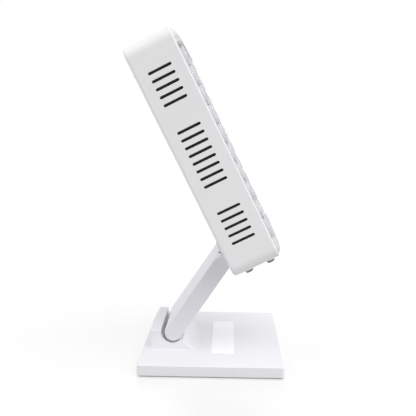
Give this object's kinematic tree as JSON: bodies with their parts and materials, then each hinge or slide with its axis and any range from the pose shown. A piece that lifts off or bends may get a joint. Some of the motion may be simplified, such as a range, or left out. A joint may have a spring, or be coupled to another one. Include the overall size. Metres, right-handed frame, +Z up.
{
  "type": "red light therapy panel",
  "caption": "Tabletop red light therapy panel: vented housing with a field of clear lenses, held by a swing arm on two friction hinges over a flat weighted base.",
  "frame": {"origin": "middle of the base's lower face, on the table", "axes": "+X across, along both hinge pins; -Y the way the lamp faces; +Z up"},
  "size_m": [0.205, 0.1941, 0.4241],
  "materials": {
    "white_shell": "fine satin white",
    "base_cover_white": "matt white",
    "mat_rubber": "matt black rubber",
    "foot_rubber": "dark grey rubber",
    "gasket_rubber": "black rubber",
    "ballast_steel": "dark primer",
    "hinge_steel": "plated steel",
    "screw_steel": "nickel plated",
    "washer_brass": "turned",
    "clear_lens": "clear moulded plastic",
    "board_white": "white coated metal-core board",
    "led_chip": "pale yellow chip",
    "bare_aluminium": "extruded",
    "black_plastic": "matt black",
    "rocker_black": "glossy black",
    "screen_black": "black mesh",
    "mains_brown": "sleeve",
    "lamp_red": "sleeve",
    "fan_yellow": "sleeve"
  },
  "bodies": {
    "base": {"base_shell": "white_shell", "base_ballast": "ballast_steel", "base_cover": "base_cover_white", "base_cover_screws": "screw_steel", "anti_slip_mat": "mat_rubber", "hinge_block": "white_shell", "hinge_block_screws": "screw_steel", "base_hinge_ears": "hinge_steel"},
    "arm": {"arm_body": "white_shell", "arm_cover": "white_shell", "arm_cover_screws": "screw_steel", "lower_hinge_pin": "hinge_steel", "upper_hinge_pin": "hinge_steel", "pin_caps": "white_shell", "lower_friction_washers": "washer_brass", "upper_friction_washers": "washer_brass"},
    "panel": {"rear_housing": "white_shell", "panel_hinge_block": "white_shell", "front_frame": "white_shell", "panel_feet": "foot_rubber", "lens_gasket": "gasket_rubber", "panel_hinge_ears": "hinge_steel", "bracket_screws": "screw_steel", "front_screws": "screw_steel", "led_board_screws": "screw_steel", "heat_sink_screws": "screw_steel", "post_screws": "screw_steel", "fan_screws": "screw_steel", "power_supply_screws": "screw_steel", "lens_plate": "clear_lens", "led_board": "board_white", "led_chips": "led_chip", "heat_sink": "bare_aluminium", "heat_sink_posts": "bare_aluminium", "power_supply": "bare_aluminium", "fan_frame_left": "black_plastic", "fan_frame_right": "black_plastic", "power_inlet": "black_plastic", "switch_frame": "black_plastic", "vent_screens": "screen_black", "mains_wires": "mains_brown", "lamp_wires": "lamp_red", "fan_wires": "fan_yellow"},
    "rocker": {"rocker_switch": "rocker_black"},
    "left_fan": {"fan_rotor_left": "black_plastic"},
    "right_fan": {"fan_rotor_right": "black_plastic"}
  },
  "joints": [
    {"name": "base_hinge", "type": "hinge", "parent": "base", "child": "arm", "pos_m": [0, 0.0516, 0.0363], "axis": [1, 0, 0], "range_deg": [-34, 28]},
    {"name": "panel_hinge", "type": "hinge", "parent": "arm", "child": "panel", "pos_m": [0, -0.01215, 0.13081], "axis": [1, 0, 0], "range_deg": [-60, 40]},
    {"name": "rocker_turn", "type": "hinge", "parent": "panel", "child": "rocker", "pos_m": [0.0723, 0.00656, 0.2062], "axis": [1, 0, 0], "range_deg": [0, 14]},
    {"name": "left_fan_spin", "type": "hinge", "parent": "panel", "child": "left_fan", "pos_m": [-0.046, 0.04741, 0.30735], "axis": [0, -0.8973, 0.4415], "continuous": true},
    {"name": "right_fan_spin", "type": "hinge", "parent": "panel", "child": "right_fan", "pos_m": [0.046, 0.04741, 0.30735], "axis": [0, -0.8973, 0.4415], "continuous": true}
  ]
}
